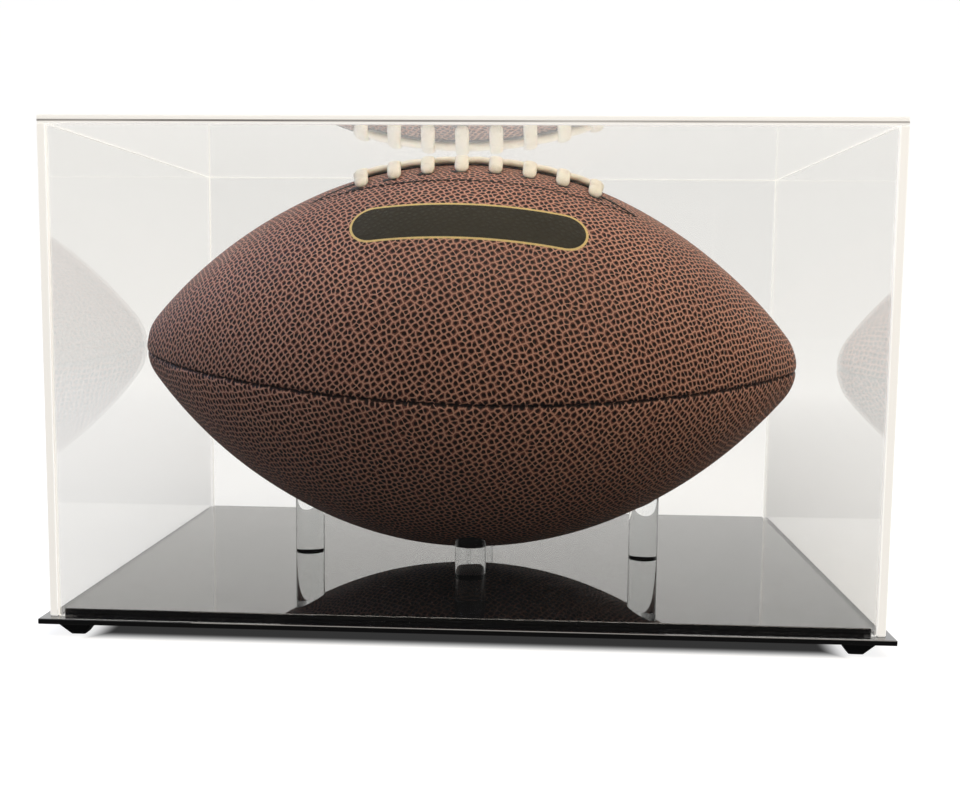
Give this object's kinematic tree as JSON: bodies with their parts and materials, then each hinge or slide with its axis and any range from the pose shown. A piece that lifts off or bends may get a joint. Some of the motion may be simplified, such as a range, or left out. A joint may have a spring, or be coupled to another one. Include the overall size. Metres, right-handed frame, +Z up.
{
  "type": "football display case",
  "caption": "Black acrylic base on rubber feet with clear rod risers that carry a laced leather football under a clear lift-off box cover.",
  "frame": {"origin": "on the table, under the middle of the case", "axes": "+X to the right along the case's length, +Y to the back, +Z up"},
  "size_m": [0.3048, 0.205, 0.1859],
  "materials": {
    "black_acrylic": "polished black cast acrylic",
    "foot_rubber": "moulded bumper, satin",
    "riser_acrylic": "clear extruded acrylic rod, saw-cut top",
    "cover_acrylic": "clear cast acrylic, polished edges",
    "ball_leather": "pebbled, lightly waxed",
    "bladder_rubber": "smooth",
    "valve_rubber": "smooth",
    "lace": "grippy vinyl lace, matt"
  },
  "bodies": {
    "stand": {"base_plate": "black_acrylic", "deck_plate": "black_acrylic", "foot_front_left": "foot_rubber", "foot_front_right": "foot_rubber", "foot_back_left": "foot_rubber", "foot_back_right": "foot_rubber", "riser_front": "riser_acrylic", "riser_back": "riser_acrylic", "riser_left": "riser_acrylic", "riser_right": "riser_acrylic"},
    "cover": {"cover_front": "cover_acrylic", "cover_back": "cover_acrylic", "cover_left": "cover_acrylic", "cover_right": "cover_acrylic", "cover_top": "cover_acrylic"},
    "football": {"ball_panel_top_front": "ball_leather", "ball_panel_bottom_front": "ball_leather", "ball_panel_bottom_back": "ball_leather", "ball_panel_top_back": "ball_leather", "ball_bladder": "bladder_rubber", "ball_valve": "valve_rubber", "lace_strip": "lace", "lace_cross_1": "lace", "lace_cross_2": "lace", "lace_cross_3": "lace", "lace_cross_4": "lace", "lace_cross_5": "lace", "lace_cross_6": "lace", "lace_cross_7": "lace", "lace_cross_8": "lace"}
  },
  "joints": [
    {"name": "cover_lift", "type": "slide", "parent": "stand", "child": "cover", "axis": [0, 0, 1], "range_m": [0, 0.2]},
    {"name": "ball_turn", "type": "hinge", "parent": "stand", "child": "football", "pos_m": [-0.004, 0, 0.0972], "axis": [0.9997, 0, -0.0236], "range_deg": [0, 90]}
  ]
}
